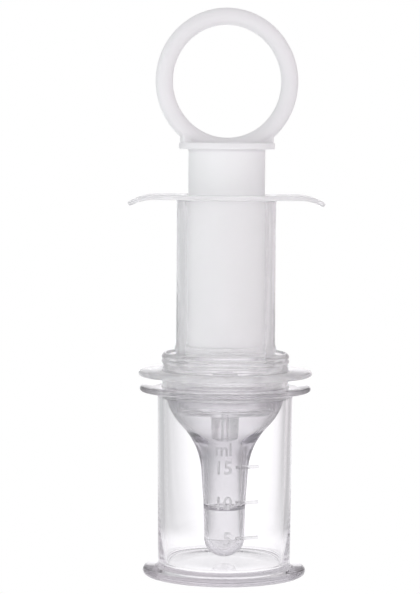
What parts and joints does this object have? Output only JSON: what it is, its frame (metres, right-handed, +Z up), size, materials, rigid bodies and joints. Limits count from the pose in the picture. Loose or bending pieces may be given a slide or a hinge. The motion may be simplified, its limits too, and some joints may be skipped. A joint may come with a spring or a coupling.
{
  "type": "oral syringe",
  "caption": "Oral medicine syringe: ring-handled plunger in a winged barrel, clear guard collar with a soft teat, standing in a clear graduated cup.",
  "frame": {"origin": "centre of the measuring cup's underside, on the surface it stands on", "axes": "+Z up the common axis, X along the barrel's finger wings, -Y towards the cup's graduations"},
  "size_m": [0.0462, 0.0406, 0.132],
  "materials": {
    "clear_cup": "clear polished moulding",
    "clear_collar": "clear polished moulding",
    "clear_silicone": "clear soft silicone",
    "milky_barrel": "milky translucent polypropylene",
    "seal_silicone": "translucent silicone",
    "milky_plunger": "milky polypropylene"
  },
  "bodies": {
    "cup": {"measuring_cup": "clear_cup"},
    "guard": {"collar": "clear_collar", "teat": "clear_silicone"},
    "syringe": {"barrel": "milky_barrel"},
    "seal": {"piston_seal": "seal_silicone"},
    "handle": {"plunger": "milky_plunger"}
  },
  "joints": [
    {"name": "guard_lift", "type": "slide", "parent": "cup", "child": "guard", "axis": [0, 0, 1], "range_m": [0, 0.045]},
    {"name": "barrel_lift", "type": "slide", "parent": "guard", "child": "syringe", "axis": [0, 0, 1], "range_m": [0, 0.022]},
    {"name": "plunger_stroke", "type": "slide", "parent": "syringe", "child": "seal", "axis": [0, 0, 1], "range_m": [-0.0102, 0.0236]},
    {"name": "plunger_turn", "type": "hinge", "parent": "seal", "child": "handle", "pos_m": [0, 0, 0.1], "axis": [0, 0, 1], "continuous": true}
  ]
}
